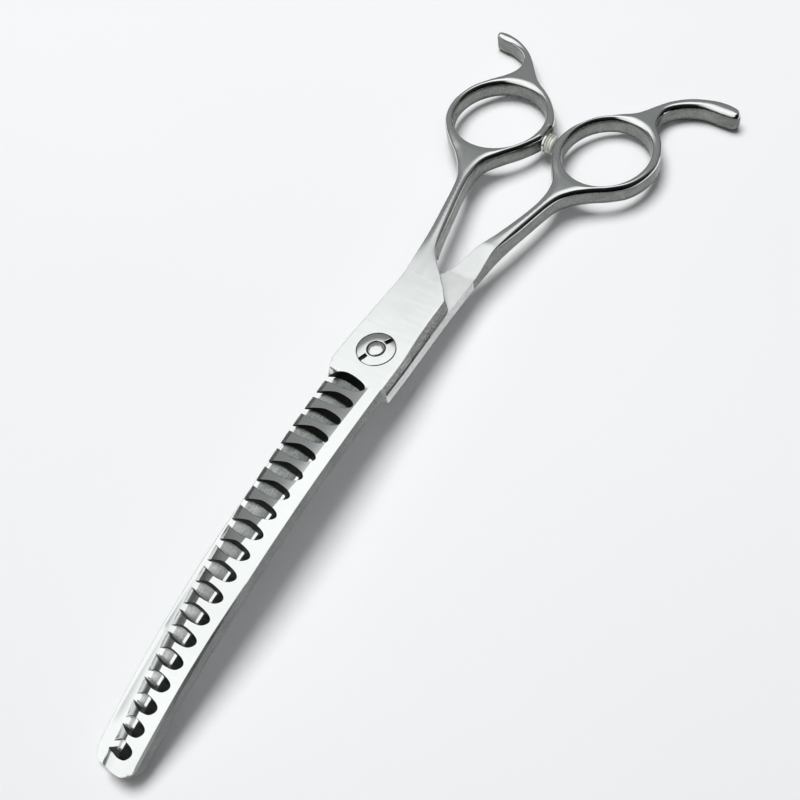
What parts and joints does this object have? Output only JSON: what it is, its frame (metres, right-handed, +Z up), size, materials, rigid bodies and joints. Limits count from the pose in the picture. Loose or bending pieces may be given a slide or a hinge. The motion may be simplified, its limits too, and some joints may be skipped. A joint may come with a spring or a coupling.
{
  "type": "curved chunking shears",
  "caption": "Curved pet-grooming chunking shears: a toothed blade over a plain blade, two finger rings with finger rests, a screw pivot with a tension nut and a bumper.",
  "frame": {"origin": "on the table, under the middle of the resting tool's bounding box", "axes": "+X along the tool towards the blade tips, +Y towards the toothed blade's spine, +Z up, with the tool lying on its rings and the blade tip"},
  "size_m": [0.1992, 0.0678, 0.0156],
  "materials": {
    "satin_steel": "fine satin grind, bright",
    "polished_steel": "mirror polished stainless steel",
    "turned_steel": "turned and polished stainless steel",
    "nylon": "natural white nylon",
    "silicone": "clear to white silicone, slightly glossy"
  },
  "bodies": {
    "plain_half": {"plain_blade": "satin_steel", "plain_handle": "polished_steel", "pivot_screw": "turned_steel", "friction_washer": "nylon"},
    "comb_half": {"comb_blade": "satin_steel", "comb_handle": "polished_steel", "pivot_bush": "nylon", "thrust_washer": "nylon", "bumper_screw": "turned_steel", "bumper_pad": "silicone"},
    "tension_dial": {"tension_nut": "turned_steel", "wave_washer": "turned_steel"}
  },
  "joints": [
    {"name": "comb_hinge", "type": "hinge", "parent": "plain_half", "child": "comb_half", "pos_m": [0.00141, -0.00275, 0.01093], "axis": [-0.0821, 0, 0.9966], "range_deg": [0, 60]},
    {"name": "tension_nut_turn", "type": "hinge", "parent": "plain_half", "child": "tension_dial", "pos_m": [0.00141, -0.00275, 0.01093], "axis": [-0.0821, 0, 0.9966], "range_deg": [-90, 90]}
  ]
}
